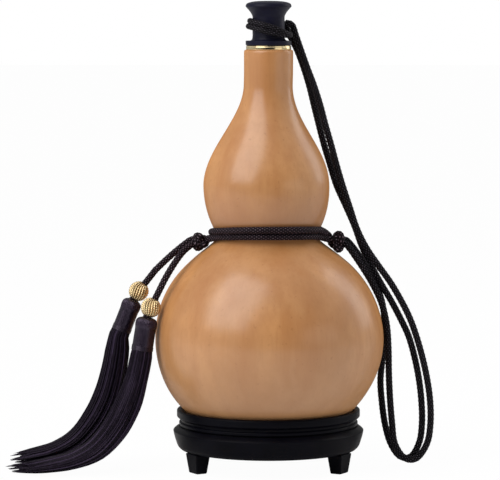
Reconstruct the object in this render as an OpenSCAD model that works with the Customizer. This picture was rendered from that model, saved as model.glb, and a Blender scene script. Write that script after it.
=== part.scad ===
// A dried gourd water bottle on a three-legged stand, with a pull-out stopper,
// a doubled carrying strap, two waist cords and a pair of bead-and-tassel ends.
// Millimetres, +Z up. The origin is on the ground, on the axis of the bottle.
// The front of the object faces -Y, and +X is the side that the strap hangs on.

/* [Gourd] */
// Height of the gourd itself, from its base to the end of its neck
gourd_h = 218; // [200:1:236]
// Diameter of the lower bulb
lower_d = 126.4; // [110:0.2:140]
// Half height of the lower bulb
lower_half = 58.6; // [52:0.2:66]
// Diameter of the upper bulb
upper_d = 69.8; // [60:0.2:78]
// Height of the middle of the upper bulb above the base of the gourd
upper_mid = 143.5; // [136:0.5:150]
// Depth of the lower half of the upper bulb, which runs into the waist
upper_drop = 44; // [38:0.5:50]
// Length over which the upper bulb narrows into the neck
shoulder_h = 55.5; // [45:0.5:62]
// Diameter of the neck
neck_d = 27; // [24:0.2:32]
// Thickness of the dried gourd wall
wall = 4.6; // [3:0.1:6]
// Thickness of the sealing coat inside
lining = 0.8; // [0.4:0.1:1.2]

/* [Mouth] */
// Diameter of the metal collar on the end of the neck
collar_d = 24.8; // [23:0.1:26.6]
// Height of the collar
collar_h = 2.5; // [1.5:0.1:4]
// Bore that the stopper is pushed into
mouth_bore_d = 17.2; // [14:0.1:18]
// Wall of the bushing that lines the mouth
bushing_wall = 1.9; // [1.2:0.1:2.4]
// Length of the bushing
bushing_l = 30; // [24:1:36]

/* [Stopper] */
// Diameter of the flange that closes the mouth
flange_d = 25.2; // [23:0.1:27]
// Thickness of the flange
flange_h = 2.4; // [1.6:0.1:4]
// Diameter of the grip between the flange and the head
grip_d = 17.6; // [15:0.1:19]
// Height of the grip above the flange
grip_h = 13; // [11.5:0.1:16]
// Diameter of the flared head
head_d = 25.2; // [22:0.1:28]
// Height of the flare under the head
flare_h = 5.6; // [4:0.1:8]
// Height of the domed top above the edge of the head
dome_h = 2.9; // [1.5:0.1:5]
// Length of the plug below the flange
plug_l = 22; // [16:0.5:23]
// Thickness of the sealing washer under the flange
washer_h = 0.8; // [0.5:0.1:1.2]
// Thickness of the seal rings on the plug
seal_t = 1.8; // [1.2:0.1:2.2]
// Diameter of the stud that joins the head to the plug
stud_d = 5; // [4:0.1:6]

/* [Stand] */
// Height of the rim of the stand above the ground
stand_h = 32.8; // [30:0.2:38]
// Diameter of the rim
rim_d = 101.4; // [96:0.2:106]
// How much wider than the rim the rounded band is, where the stand is widest
band_over = 4; // [2:0.2:10]
// How much narrower than the rim the underside of the band is
base_under = 2; // [1:0.5:6]
// Height of the legs below the band
leg_h = 10.8; // [8:0.2:13]
// Diameter of the opening in the middle of the stand
opening_d = 56; // [46:1:62]
// Diameter of the circle that the legs stand on
leg_circle_d = 89.4; // [86:0.2:90]
// Width of a leg where it meets the band
leg_w = 12.4; // [10:0.2:15]
// Width of a leg at its foot
foot_w = 9.2; // [7:0.2:11]
// Thickness of a leg where it meets the band, measured outwards
leg_t = 9; // [8:0.2:10]
// Thickness of a leg at its foot, measured outwards
foot_t = 6.4; // [5:0.2:8]
// Diameter of the dowel in each leg
dowel_d = 4; // [3:0.1:5]
// Depth of the dowel in the leg and in the band
dowel_depth = 6; // [4:0.2:7]

/* [Cords] */
// Thickness of the braided cord
cord_d = 3.8; // [3.2:0.1:4.2]
// Height of the two waist cords, at the line between them, above the base of the gourd
waist_h = 116.6; // [114:0.2:119]
// Diameter of each knot at the waist
knot_d = 10.4; // [9:0.1:12]
// Thickness of the cord where it is pulled tight round the stopper
noose_d = 3.4; // [3:0.1:3.6]
// Tilt of the noose on the grip, in degrees
noose_tilt = 15.5; // [8:0.5:20]

/* [Tassels] */
// Diameter of a metal bead
bead_d = 11.2; // [9:0.1:13]
// Diameter of a tassel head
tassel_d = 10.8; // [9:0.1:11.4]
// Length of a tassel head
tassel_l = 18; // [16:0.5:22]
// Width of the thread binding at the foot of a tassel head
binding_w = 2.4; // [1.5:0.1:3.5]

/* [Clearances] */
// Gap between the gourd and its seat in the stand
seat_gap = 0.3; // [0.2:0.05:0.5]
// Gap round a seal ring in the mouth
seal_gap = 0.06; // [0.02:0.01:0.1]
// Gap round the plug in the mouth
plug_gap = 0.4; // [0.3:0.05:0.6]
// Gap round the cord in a bead
bead_gap = 0.1; // [0.06:0.01:0.3]
// Gap between a bead and the tassel head that it rests on
bead_rest = 0.6; // [0.4:0.1:1]
// Gap between the gourd and the cords wound round its waist
loop_gap = 0.55; // [0.2:0.05:0.8]
// Gap between the end of a cord and the top of its tassel head
head_gap = 0.5; // [0.2:0.1:0.6]
// Gap between the stopper and the collar it rests on
rest_gap = 0.1; // [0.05:0.05:0.3]

/* [Hidden] */
$fn = 96;

// Heights above the ground, worked up from the stand
lower_r = lower_d / 2;
upper_r = upper_d / 2;
neck_r = neck_d / 2;
// Radius at which the gourd meets the top of the rim
rim_lip = 3.17;
seat_r = rim_d / 2 - rim_lip - seat_gap;
lower_z = stand_h + lower_half * sqrt(1 - pow(seat_r / lower_r, 2));
base_z = lower_z - lower_half;
upper_z = base_z + upper_mid;
neck_z = base_z + gourd_h;
collar_z = neck_z + collar_h;
flange_z = collar_z + rest_gap;
grip_z = flange_z + flange_h;
flare_z = grip_z + grip_h;
edge_z = flare_z + flare_h;
waist_z = base_z + waist_h;

bushing_r = mouth_bore_d / 2 + bushing_wall;
plug_r = mouth_bore_d / 2 - plug_gap;
cord_r = cord_d / 2;
knot_r = knot_d / 2;

// How far the stopper's parts reach out, which the strap stays clear of
noose_step = noose_d * 0.44;
noose_r = (grip_d / 2 + noose_d / 2 + noose_step * sin(noose_tilt) + 0.1) / cos(noose_tilt);
noose_z = grip_z + noose_r * sin(noose_tilt) + noose_step * cos(noose_tilt) + noose_d / 2 + 0.25;

// Radius of one bulb, an ellipse of radius a and half height b round height c
function bulb(z, c, a, b) = a * sqrt(max(0, 1 - pow((z - c) / b, 2)));

// Outer radius of the gourd at a height, or the same outline drawn in by t
function gourd_r(z, t = 0) =
    z > upper_z
    ? neck_r - t + (upper_r - neck_r) * (1 + cos(180 * min(1, (z - upper_z) / shoulder_h))) / 2
    : pow(pow(bulb(z, lower_z, lower_r - t, lower_half - t), 4)
        + pow(bulb(z, upper_z, upper_r - t, upper_drop - t), 4), 0.25);

// Outline points up the gourd: close together round the base, then even steps to a top height
function gourd_line(t, top) = concat(
    [for (a = [0:6:90]) let (z = lower_z - (lower_half - t) * cos(a)) [a == 0 ? 0 : gourd_r(z, t), z]],
    [for (i = [1:44]) let (z = lower_z + (top - lower_z) * i / 44) [gourd_r(z, t), z]]
);

// The whole outline of the gourd as a solid, drawn in by t, up to a top height
module gourd_solid(t, top) {
    rotate_extrude()
        polygon(concat(gourd_line(t, top), [[0, top]]));
}

module gourd_shell() {
    color("#c0935f")
    difference() {
        gourd_solid(0, neck_z);
        gourd_solid(wall, neck_z);
        translate([0, 0, collar_z - bushing_l])
            cylinder(r = bushing_r, h = bushing_l);
    }
}

module inner_lining() {
    color("#8a5a34")
    difference() {
        gourd_solid(wall, neck_z);
        gourd_solid(wall + lining, neck_z + 1);
        translate([0, 0, collar_z - bushing_l])
            cylinder(r = bushing_r + 1, h = bushing_l);
    }
}

module mouth_bushing() {
    color("#5c3b24")
    translate([0, 0, collar_z - bushing_l])
        difference() {
            cylinder(r = bushing_r, h = bushing_l);
            translate([0, 0, -1])
                cylinder(d = mouth_bore_d, h = bushing_l + 2);
        }
}

// A flat ring with rolled edges round the end of the neck
module mouth_collar() {
    edge = 0.5;
    color("#c9a25a")
    translate([0, 0, neck_z])
        rotate_extrude()
            polygon([
                [bushing_r, 0], [collar_d / 2 - edge, 0], [collar_d / 2, edge],
                [collar_d / 2, collar_h - edge], [collar_d / 2 - edge, collar_h], [bushing_r, collar_h]
            ]);
}

// Radius of the flare at a share u of its height, hollow like a trumpet
function flare_r(u) = grip_d / 2 + (head_d - grip_d) / 2 * pow(u, 1.5);

module stopper_head() {
    foot = 0.9;
    brim = 0.7;
    color("#1e1d26")
    difference() {
        rotate_extrude()
            polygon(concat(
                [[0, flange_z], [flange_d / 2, flange_z], [flange_d / 2, grip_z],
                 [grip_d / 2 + foot, grip_z], [grip_d / 2 + foot / 3, grip_z + foot / 2],
                 [grip_d / 2, grip_z + 2 * foot]],
                [for (i = [0:8]) [flare_r(i / 8), flare_z + flare_h * i / 8]],
                [[head_d / 2, edge_z + brim]],
                [for (a = [30:12:90]) [head_d / 2 * cos(a) * 0.98, edge_z + brim / 2 + dome_h * sin(a)]]
            ));
        translate([0, 0, flange_z - 1])
            cylinder(d = stud_d, h = 1 + grip_h - 3);
        translate([0, 0, flange_z - 1])
            difference() {
                cylinder(r = bushing_r, h = 1 + washer_h);
                cylinder(r = plug_r - 1.6, h = 1 + washer_h);
            }
    }
}

// The washer lies in a groove of the flange and closes on the top of the bushing
module stopper_washer() {
    color("#d9d4cc")
    translate([0, 0, flange_z])
        difference() {
            cylinder(r = bushing_r, h = washer_h);
            translate([0, 0, -1])
                cylinder(r = plug_r - 1.6, h = washer_h + 2);
        }
}

// Heights of the two seal grooves in the plug
seal_rows = [flange_z - plug_l * 0.35, flange_z - plug_l * 0.7];

module seal_ring(r_in, r_out) {
    rotate_extrude()
        translate([(r_in + r_out) / 2, 0])
            circle(d = r_out - r_in, $fn = 32);
}

module stopper_plug() {
    tip = 1.2;
    color("#2a2119")
    difference() {
        rotate_extrude()
            polygon([
                [0, flange_z - plug_l], [plug_r - tip, flange_z - plug_l],
                [plug_r, flange_z - plug_l + tip], [plug_r, flange_z - 0.6],
                [plug_r - 1.6, flange_z], [0, flange_z]
            ]);
        translate([0, 0, flange_z - plug_l + 3])
            cylinder(d = stud_d, h = plug_l);
        for (z = seal_rows)
            translate([0, 0, z - seal_t / 2])
                difference() {
                    cylinder(r = plug_r + 1, h = seal_t);
                    cylinder(r = mouth_bore_d / 2 - seal_gap - seal_t, h = seal_t);
                }
    }
}

module stopper_seals() {
    color("#c8c2b8")
    for (z = seal_rows)
        translate([0, 0, z])
            seal_ring(mouth_bore_d / 2 - seal_gap - seal_t, mouth_bore_d / 2 - seal_gap);
}

module stopper_stud() {
    color("#a9a9ad")
    translate([0, 0, flange_z - plug_l + 3])
        cylinder(d = stud_d, h = plug_l - 3 + grip_h - 3);
}

// The cord is wound twice round the grip, on the slant
module stopper_noose() {
    color("#1b1820")
    translate([0, 0, noose_z])
        rotate([0, noose_tilt, 0])
            for (s = [-1, 1])
                translate([0, 0, s * noose_step])
                    rotate_extrude()
                        translate([noose_r, 0])
                            circle(d = noose_d, $fn = 32);
}

base_r = (rim_d - base_under) / 2;
band_r = (rim_d + band_over) / 2;

// How far the groove lies below the rim, how far the band's foot is drawn in, and where the band is widest
groove_drop = 9.4;
foot_soft = 1.2;
band_rise = 0.81;
groove_z = stand_h - groove_drop;
band_mid = leg_h + (groove_z - leg_h) * band_rise;
// Outline of the band: u runs from -1 at its foot, through 0 where it is widest, to 1 at the groove
function band_point(u) = [
    band_r - (band_r - base_r) * pow(abs(u), 1.25)
        - foot_soft * pow(max(0, (-u - 0.7) / 0.3), 2.5),
    band_mid + u * (u < 0 ? band_mid - leg_h : groove_z - band_mid)
];

// Steps above the band: how far inside the foot of the band each lies, and how far above the groove
ring_steps = [[1.6, -0.4], [1.6, 0.5], [0.2, 0.9], [0.2, 2.4], [1.2, 2.9]];

// Height of the hollow under the rim, how far the rim's edges are softened, and the height of its face
cove_h = 1.5;
rim_soft = 0.6;
rim_face = 3.9;

// Radius of the opening under the bottle, and the height at which the seat reaches it
seat_under = 2.2;
opening_r = max(opening_d / 2, gourd_r(leg_h + seat_under, -seat_gap) + 0.8);
seat_foot_z = lower_z
    - (lower_half + seat_gap) * sqrt(1 - pow(opening_r / (lower_r + seat_gap), 2));

module stand_ring() {
    color("#1c1d24")
    difference() {
        rotate_extrude()
            polygon(concat(
                [[opening_r, leg_h + seat_under], [opening_r + seat_under, leg_h]],
                [for (i = [-20:5]) band_point(i < 0 ? i / 20 : i / 5)],
                [for (s = ring_steps) [base_r - s[0], groove_z + s[1]]],
                [for (a = [0:18:90])
                    [rim_d / 2 - rim_soft - (base_under / 2 + rim_soft) * cos(a),
                     stand_h - rim_face - rim_soft - cove_h * (1 - sin(a))]],
                [[rim_d / 2, stand_h - rim_face], [rim_d / 2, stand_h - rim_soft],
                 [rim_d / 2 - rim_soft, stand_h]],
                [for (i = [0:20])
                    let (z = stand_h - (stand_h - seat_foot_z) * i / 20)
                        [gourd_r(z, -seat_gap), z]]
            ));
        leg_places()
            translate([0, 0, leg_h - 1])
                cylinder(d = dowel_d, h = dowel_depth + 1);
    }
}

// The three legs: two towards the front and one at the rear
leg_turns = [["left", 210], ["right", 330], ["rear", 90]];
module leg_place(turn) {
    rotate([0, 0, turn])
        translate([leg_circle_d / 2, 0, 0])
            children();
}
module leg_places() {
    for (leg = leg_turns)
        leg_place(leg[1])
            children();
}

// A block that narrows both ways towards its foot
module stand_leg(turn) {
    color("#1c1d24")
    leg_place(turn)
        difference() {
            intersection() {
                rotate([90, 0, 90])
                    translate([0, 0, -leg_t])
                        linear_extrude(height = 2 * leg_t)
                            polygon([[-foot_w / 2, 0], [foot_w / 2, 0], [leg_w / 2, leg_h], [-leg_w / 2, leg_h]]);
                rotate([90, 0, 0])
                    translate([0, 0, -leg_w])
                        linear_extrude(height = 2 * leg_w)
                            polygon([[-foot_t / 2, 0], [foot_t / 2, 0], [leg_t / 2, leg_h], [-leg_t / 2, leg_h]]);
            }
            translate([0, 0, leg_h - dowel_depth])
                cylinder(d = dowel_d, h = dowel_depth + 1);
        }
}
module stand_leg_left() { stand_leg(leg_turns[0][1]); }
module stand_leg_right() { stand_leg(leg_turns[1][1]); }
module stand_leg_rear() { stand_leg(leg_turns[2][1]); }

module leg_dowels() {
    color("#8a6a45")
    leg_places()
        translate([0, 0, leg_h - dowel_depth])
            cylinder(d = dowel_d, h = 2 * dowel_depth);
}

// A cord round the waist, at a height, lying on the gourd
module waist_loop(z) {
    r = max([for (a = [-84:3:84]) gourd_r(z + cord_r * sin(a)) + cord_r * cos(a)]) + loop_gap;
    translate([0, 0, z])
        rotate_extrude()
            translate([r, 0])
                circle(r = cord_r, $fn = 32);
}
upper_loop_z = waist_z + cord_r;
lower_loop_z = waist_z - cord_r;
module waist_cord_upper() {
    color("#241a22")
    waist_loop(upper_loop_z);
}
module waist_cord_lower() {
    color("#241a22")
    waist_loop(lower_loop_z);
}

// Where the two knots sit: outside the waist cords, and clear of the shoulder of the lower bulb
knot_z = waist_z - 3.6;
knot_x = max(
    gourd_r(lower_loop_z) + cord_d + knot_r * 1.1,
    max([for (a = [-90:6:90]) gourd_r(knot_z + knot_r * sin(a)) + knot_r * cos(a)]) + 0.6
);

// A tight knot: round lobes of cord crowded together
module knot(side) {
    lobe = knot_r * 0.58;
    color("#241a22")
    translate([side * knot_x, -1, knot_z])
        union() {
            for (a = [45:90:315])
                rotate([0, a, 0])
                    translate([knot_r - lobe, 0, 0])
                        sphere(r = lobe, $fn = 32);
            for (s = [-1, 1])
                translate([side * 0.6, s * (knot_r - lobe), 0])
                    sphere(r = lobe, $fn = 32);
        }
}
module left_knot() { knot(-1); }
module right_knot() { knot(1); }

// Routes of the free cords, in millimetres, chosen by hand
strap_outer_route = [
    [13, 9.6, 244.5], [15.2, 8.8, 238.5], [18, 8, 230.5], [21.2, 7.5, 221.5], [25, 7, 211.5],
    [28.4, 6.5, 201], [31.2, 6, 190.5], [34.5, 5.6, 179], [37.6, 5.2, 167.5], [41, 4.8, 156],
    [44.8, 4.2, 144.5], [48.8, 3.4, 132.5], [54, 2.6, 122], [60.8, 2, 112], [67.6, 2, 102.5],
    [73.2, 2, 93], [78.2, 2, 83], [82.2, 2, 72], [85.6, 2, 60], [88.2, 2, 48],
    [89.8, 2, 36], [90, 2, 24], [88.2, 2, 13], [82.5, 2, 4.6], [75.5, 2, 4.8],
    [70.2, 2, 13], [68.6, 2, 25], [67.5, 2, 38], [66.8, 2, 52], [66.5, 1.6, 66],
    [65.5, 1, 79], [62.5, 0.4, 91.5], [57, -0.2, 103], [50.2, -1, 114], [43.5, -2, 123.4]
];
strap_inner_route = [
    [9, 13.8, 244.5], [12, 13.2, 238.5], [16, 12.6, 230.5], [19.4, 12.2, 221.5], [22.5, 11.6, 211.5],
    [25.1, 11.1, 201], [27.7, 10.6, 190.5], [30.7, 10.4, 179], [34.2, 10.2, 167.5], [37.8, 9.6, 156],
    [43, 8.8, 144.5], [47.8, 8.2, 133.5], [51.8, 7.6, 122.5], [57, 7, 111.5], [62.8, 6.8, 101],
    [68.4, 6.8, 91.5], [73.4, 6.8, 82], [78, 6.8, 72], [81.4, 6.8, 60], [83.8, 6.8, 48],
    [85.2, 6.8, 36], [85.6, 6.8, 24], [84.2, 6.8, 13], [79.6, 6.8, 4.8], [73.2, 6.8, 5],
    [68, 7, 12.5], [65, 8, 23], [63.4, 10, 34.5], [62.6, 12, 46.5], [63.6, 12.6, 58],
    [64.6, 12, 69.5], [64.6, 10.6, 81], [62.8, 8.6, 92.5], [57.8, 6.2, 104.5], [50.8, 4, 116.5], [43.6, 3, 125.6]
];

// The cord of each tassel runs straight through its bead and into the head
cord_left_route = [
    [-43.2, 1, 126.2], [-49.6, 0.4, 121.4], [-56, -0.4, 115.9], [-62.3, -1, 109.9], [-75.5, -1, 93.2]
];
cord_right_route = [
    [-41.8, -4.3, 124.6], [-46.6, -9, 121], [-50.4, -13, 116.4], [-53.8, -16.4, 111.3],
    [-57, -18, 105.8], [-67.2, -18, 85.2]
];

// A bead rests on the head of its tassel, at the straight end of the cord
function bead_place(route) = let (n = len(route))
    route[n - 1] + (bead_d / 2 + bead_rest) * unit(route[n - 2] - route[n - 1]);

// Directions in which the two tassel heads lie, from the top down
head_left_lean = [-0.33, 0, -0.944];
head_right_lean = [-0.16, -0.04, -0.986];

// The middle line of each skirt below its head, with its half width and half height at each point
skirt_left_run = [
    [[2.2, 0.2, -10.7], 6.2, 6.9], [[4.4, 1.2, -23.7], 7.4, 7.4], [[8.2, 2, -37.1], 8.6, 7.8],
    [[14.8, 2.2, -49.9], 9.8, 7.6], [[24.4, 1.4, -60.7], 10.8, 6.4], [[37, -0.2, -67.1], 11, 4.8],
    [[50, -1.6, -69.7], 10.4, 3.8], [[61.8, -3, -71.5], 8.4, 2.4]
];
skirt_right_run = [
    [[3, -0.7, -15], 6.2, 6.4], [[7.4, -1.7, -28.6], 7.6, 7.6], [[14.4, -2.9, -42], 9, 7.6],
    [[24.4, -4.1, -53.4], 10, 6.6], [[36.8, -4.9, -59.6], 10.6, 5], [[49.4, -5.5, -62.2], 10.6, 4],
    [[61.4, -6, -63.6], 10.2, 3], [[73.4, -6.4, -64.4], 8.4, 2.2]
];

function unit(v) = v / norm(v);

// Direction of a route at point i: between the runs before and after it
function heading(p, i) =
    unit((i == 0 ? [0, 0, 0] : unit(p[i] - p[i - 1]))
        + (i == len(p) - 1 ? [0, 0, 0] : unit(p[i + 1] - p[i])));

// A ring of points round a route's point, a wide by b high, flattened on the ground
function ring(p, i, a, b, sides) =
    let (t = heading(p, i), u = unit(cross([0, 1, 0], t)), v = cross(t, u))
        [for (k = [0:sides - 1])
            let (q = p[i] + b * cos(360 * k / sides) * u + a * sin(360 * k / sides) * v)
                [q[0], q[1], max(q[2], 0.2)]];

// One closed tube through rings of the same count
module skin(rings, sides) {
    n = len(rings);
    polyhedron(
        points = [for (r = rings) for (q = r) q],
        faces = concat(
            [[for (k = [0:sides - 1]) k]],
            [for (i = [0:n - 2]) for (k = [0:sides - 1])
                let (a = i * sides + k, b = i * sides + (k + 1) % sides)
                    [a, a + sides, b]],
            [for (i = [0:n - 2]) for (k = [0:sides - 1])
                let (a = i * sides + k, b = i * sides + (k + 1) % sides)
                    [b, a + sides, b + sides]],
            [[for (k = [sides - 1:-1:0]) (n - 1) * sides + k]]
        )
    );
}

module cord_tube(route) {
    sides = 8;
    skin([for (i = [0:len(route) - 1]) ring(route, i, cord_r, cord_r, sides)], sides);
}

module strap_strand_outer() { color("#1b1820") cord_tube(strap_outer_route); }
module strap_strand_inner() { color("#1b1820") cord_tube(strap_inner_route); }
module tassel_cord_left() { color("#241a22") cord_tube(cord_left_route); }
module tassel_cord_right() { color("#241a22") cord_tube(cord_right_route); }

// Puts +Z of what follows along a direction, at a place
module aim(at, dir) {
    d = unit(dir);
    translate(at)
        rotate([0, acos(d[2]), atan2(d[1], d[0])])
            children();
}

// A round bead, drilled for the cord and cut flat at both ends of its hole
module bead(route) {
    n = len(route);
    color("#c79a3e")
    aim(bead_place(route), route[n - 2] - route[n - 1])
        difference() {
            intersection() {
                sphere(d = bead_d, $fn = 64);
                cylinder(d = bead_d + 2, h = bead_d * 0.92, center = true);
            }
            cylinder(r = cord_r + bead_gap, h = bead_d * 2, center = true);
        }
}
module bead_left() { bead(cord_left_route); }
module bead_right() { bead(cord_right_route); }

// Top of a tassel head, just past the end of its cord
function head_top(route, lean) = route[len(route) - 1] + head_gap * unit(lean);

// A tassel head: a satin-covered barrel with a rounded top
module tassel_head(route, lean) {
    r = tassel_d / 2;
    shoulder = 3.2;
    color("#1d161d")
    aim(head_top(route, lean), lean)
        rotate_extrude()
            polygon(concat(
                [[0, 0]],
                [for (a = [10:16:90]) [r - shoulder * (1 - sin(a)), shoulder * (1 - cos(a))]],
                [[r, tassel_l * 0.3], [r * 0.93, tassel_l * 0.62], [r * 0.95, tassel_l - binding_w],
                 [r * 0.88, tassel_l - binding_w], [r * 0.88, tassel_l], [0, tassel_l]]
            ));
}
module tassel_head_left() { tassel_head(cord_left_route, head_left_lean); }
module tassel_head_right() { tassel_head(cord_right_route, head_right_lean); }

module tassel_binding(route, lean) {
    r = tassel_d / 2;
    color("#2c2028")
    aim(head_top(route, lean) + unit(lean) * (tassel_l - binding_w), lean)
        difference() {
            cylinder(r = r, h = binding_w);
            translate([0, 0, -1])
                cylinder(r = r * 0.88, h = binding_w + 2);
        }
}
module tassel_binding_left() { tassel_binding(cord_left_route, head_left_lean); }
module tassel_binding_right() { tassel_binding(cord_right_route, head_right_lean); }

// The fringe of a tassel as one soft body, swept from the foot of its head to the ground
module tassel_skirt(route, lean, run) {
    sides = 12;
    r = tassel_d / 2 * 0.88;
    top = head_top(route, lean) + unit(lean) * tassel_l;
    p = concat(
        [top, top + 4 * unit(lean)],
        [for (s = run) [top[0] - s[0][0], top[1] + s[0][1], top[2] + s[0][2]]]
    );
    a = concat([r, r + 0.2], [for (s = run) s[1]]);
    b = concat([r, r + 0.2], [for (s = run) s[2]]);
    color("#1d161d")
    skin([for (i = [0:len(p) - 1]) ring(p, i, a[i], b[i], sides)], sides);
}
module tassel_skirt_left() { tassel_skirt(cord_left_route, head_left_lean, skirt_left_run); }
module tassel_skirt_right() { tassel_skirt(cord_right_route, head_right_lean, skirt_right_run); }

gourd_shell();
inner_lining();
mouth_bushing();
mouth_collar();
stopper_head();
stopper_plug();
stopper_stud();
stopper_washer();
stopper_seals();
stopper_noose();
stand_ring();
stand_leg_left();
stand_leg_right();
stand_leg_rear();
leg_dowels();
waist_cord_upper();
waist_cord_lower();
left_knot();
right_knot();
strap_strand_outer();
strap_strand_inner();
tassel_cord_left();
tassel_cord_right();
bead_left();
bead_right();
tassel_head_left();
tassel_head_right();
tassel_binding_left();
tassel_binding_right();
tassel_skirt_left();
tassel_skirt_right();
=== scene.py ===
"""A dried gourd water bottle on a black stand, with its stopper, strap, waist cords, beads and tassels.

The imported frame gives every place. Pieces are built in millimetres, and new_mesh makes them metres.
"""

from functools import partial
from math import asin, atan2, cos, exp, hypot, pi, radians, sin, sqrt, tanh

import bpy
import numpy as np
from bpy.props import FloatProperty, FloatVectorProperty, IntProperty, PointerProperty
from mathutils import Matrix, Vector, noise


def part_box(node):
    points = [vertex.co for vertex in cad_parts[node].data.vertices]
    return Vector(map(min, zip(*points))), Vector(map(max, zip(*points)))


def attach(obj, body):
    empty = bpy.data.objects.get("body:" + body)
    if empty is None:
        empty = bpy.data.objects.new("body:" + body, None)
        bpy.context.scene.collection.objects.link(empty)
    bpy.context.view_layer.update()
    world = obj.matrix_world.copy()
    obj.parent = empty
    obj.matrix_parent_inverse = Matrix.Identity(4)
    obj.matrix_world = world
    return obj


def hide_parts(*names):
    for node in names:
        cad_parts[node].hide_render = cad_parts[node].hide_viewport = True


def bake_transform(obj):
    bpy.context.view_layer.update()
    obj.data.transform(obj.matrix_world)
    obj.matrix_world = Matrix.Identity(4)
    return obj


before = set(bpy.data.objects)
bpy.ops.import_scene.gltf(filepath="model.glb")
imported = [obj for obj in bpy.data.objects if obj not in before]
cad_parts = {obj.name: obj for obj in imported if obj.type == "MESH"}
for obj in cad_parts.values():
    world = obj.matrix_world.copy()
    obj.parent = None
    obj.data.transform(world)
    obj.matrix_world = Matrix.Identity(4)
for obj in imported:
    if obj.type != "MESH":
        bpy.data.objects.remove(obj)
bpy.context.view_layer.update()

bl_info = {
    "name": "Gourd bottle",
    "version": (1, 0, 0),
    "blender": (4, 5, 0),
    "location": "View3D > Sidebar > Gourd bottle",
    "description": "Builds a gourd water bottle with its stopper, strap, tassels and stand",
    "category": "Add Mesh",
}

MM = 0.001
UP = np.array((0.0, 0.0, 1.0))
ACROSS = np.array((0.0, 1.0, 0.0))


def box_mm(node):
    """Lowest and highest corner of a CAD node, in millimetres."""
    low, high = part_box(node)
    return np.array(low) / MM, np.array(high) / MM


# Places and sizes that the frame gives
SHELL_LOW, SHELL_HIGH = box_mm("gourd_shell")
COLLAR_LOW, COLLAR_HIGH = box_mm("mouth_collar")
HEAD_LOW, HEAD_HIGH = box_mm("stopper_head")
RING_LOW, RING_HIGH = box_mm("stand_ring")
BUSH_LOW, BUSH_HIGH = box_mm("mouth_bushing")
BASE_Z = SHELL_LOW[2]
NECK_Z = SHELL_HIGH[2]
LOWER_R = SHELL_HIGH[0]
STAND_Z = RING_HIGH[2]
LEG_H = RING_LOW[2]

# The gourd's own outline, the same curve as the solid's
LOWER_HALF = 58.6
UPPER_R = 34.9
UPPER_MID = 143.5
UPPER_DROP = 44.0
SHOULDER_H = 55.5
NECK_R = 13.5
WALL = 4.6
LOWER_Z = BASE_Z + LOWER_HALF
UPPER_Z = BASE_Z + UPPER_MID

# Routes of the free cords, in millimetres, the same points as in the solid model
STRAP_OUTER = [
    (13, 9.6, 244.5), (15.2, 8.8, 238.5), (18, 8, 230.5), (21.2, 7.5, 221.5), (25, 7, 211.5),
    (28.4, 6.5, 201), (31.2, 6, 190.5), (34.5, 5.6, 179), (37.6, 5.2, 167.5), (41, 4.8, 156),
    (44.8, 4.2, 144.5), (48.8, 3.4, 132.5), (54, 2.6, 122), (60.8, 2, 112), (67.6, 2, 102.5),
    (73.2, 2, 93), (78.2, 2, 83), (82.2, 2, 72), (85.6, 2, 60), (88.2, 2, 48),
    (89.8, 2, 36), (90, 2, 24), (88.2, 2, 13), (82.5, 2, 4.6), (75.5, 2, 4.8),
    (70.2, 2, 13), (68.6, 2, 25), (67.5, 2, 38), (66.8, 2, 52), (66.5, 1.6, 66),
    (65.5, 1, 79), (62.5, 0.4, 91.5), (57, -0.2, 103), (50.2, -1, 114), (43.5, -2, 123.4),
]
STRAP_INNER = [
    (9, 13.8, 244.5), (12, 13.2, 238.5), (16, 12.6, 230.5), (19.4, 12.2, 221.5), (22.5, 11.6, 211.5),
    (25.1, 11.1, 201), (27.7, 10.6, 190.5), (30.7, 10.4, 179), (34.2, 10.2, 167.5), (37.8, 9.6, 156),
    (43, 8.8, 144.5), (47.8, 8.2, 133.5), (51.8, 7.6, 122.5), (57, 7, 111.5), (62.8, 6.8, 101),
    (68.4, 6.8, 91.5), (73.4, 6.8, 82), (78, 6.8, 72), (81.4, 6.8, 60), (83.8, 6.8, 48),
    (85.2, 6.8, 36), (85.6, 6.8, 24), (84.2, 6.8, 13), (79.6, 6.8, 4.8), (73.2, 6.8, 5),
    (68, 7, 12.5), (65, 8, 23), (63.4, 10, 34.5), (62.6, 12, 46.5), (63.6, 12.6, 58),
    (64.6, 12, 69.5), (64.6, 10.6, 81), (62.8, 8.6, 92.5), (57.8, 6.2, 104.5), (50.8, 4, 116.5),
    (43.6, 3, 125.6),
]
CORD_LEFT = [
    (-43.2, 1, 126.2), (-49.6, 0.4, 121.4), (-56, -0.4, 115.9), (-62.3, -1, 109.9), (-75.5, -1, 93.2),
]
CORD_RIGHT = [
    (-41.8, -4.3, 124.6), (-46.6, -9, 121), (-50.4, -13, 116.4), (-53.8, -16.4, 111.3),
    (-57, -18, 105.8), (-67.2, -18, 85.2),
]

# The way that each tassel's head points as it hangs
LEAN_LEFT = (-0.37, 0, -0.929)
LEAN_RIGHT = (-0.16, -0.04, -0.986)

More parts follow.
